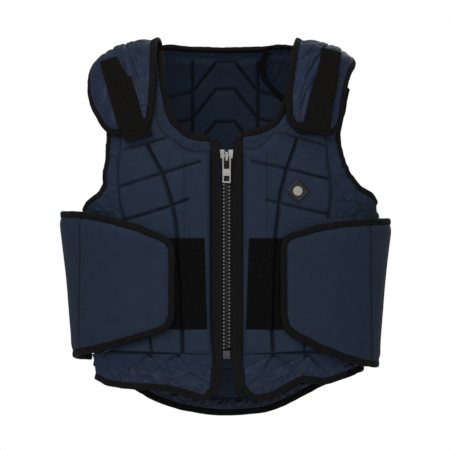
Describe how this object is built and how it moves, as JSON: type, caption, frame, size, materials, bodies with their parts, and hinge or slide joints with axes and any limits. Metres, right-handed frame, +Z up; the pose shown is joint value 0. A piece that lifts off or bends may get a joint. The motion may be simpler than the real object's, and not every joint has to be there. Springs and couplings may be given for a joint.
{
  "type": "equestrian body protector",
  "caption": "Padded navy riding vest with a front zip, shoulder yokes held by hook tape, side wings that close on loop fields, and gathered hems.",
  "frame": {"origin": "midway between the shoulders, where the vest rests on the wearer", "axes": "+Z up, -Y the front with the zip, +X towards the wearer's left"},
  "size_m": [0.428, 0.2125, 0.4971],
  "materials": {
    "foam_cover": "matt woven nylon over foam",
    "satin_cloth": "loose nylon with a satin sheen",
    "edge_binding": "ribbed black binding tape",
    "hook_tape": "black woven tape and hook tape",
    "loop_pile": "black loop pile",
    "chain_plastic": "moulded dark grey",
    "nickel": "bright nickel",
    "badge_face": "soft moulded, bare",
    "badge_disc": "pale, plain"
  },
  "bodies": {
    "vest": {"back_panel": "foam_cover", "neck_binding_back": "edge_binding", "back_armhole_binding_right": "edge_binding", "back_armhole_binding_left": "edge_binding", "back_skirt": "satin_cloth", "hem_binding_back": "edge_binding", "front_panel_right": "foam_cover", "neck_binding_right": "edge_binding", "armhole_binding_right": "edge_binding", "loop_patch_right": "loop_pile", "front_skirt_right": "satin_cloth", "hem_binding_right": "edge_binding", "front_panel_left": "foam_cover", "neck_binding_left": "edge_binding", "armhole_binding_left": "edge_binding", "loop_patch_left": "loop_pile", "front_skirt_left": "satin_cloth", "hem_binding_left": "edge_binding", "shoulder_yoke_right": "satin_cloth", "yoke_binding_right": "edge_binding", "shoulder_tape_right": "hook_tape", "shoulder_yoke_left": "satin_cloth", "yoke_binding_left": "edge_binding", "shoulder_tape_left": "hook_tape", "side_wing_right": "foam_cover", "wing_binding_right": "edge_binding", "side_wing_left": "foam_cover", "wing_binding_left": "edge_binding", "zip_tape_right": "hook_tape", "zip_tape_left": "hook_tape", "zip_chain": "chain_plastic", "zip_box": "chain_plastic", "zip_slider": "nickel", "badge_base": "badge_face", "badge_disc": "badge_disc"},
    "pull": {"zip_pull": "nickel"}
  },
  "joints": [
    {"name": "pull_swing", "type": "hinge", "parent": "vest", "child": "pull", "pos_m": [0, -0.10037, -0.13728], "axis": [-1, 0, 0], "range_deg": [0, 165]}
  ]
}
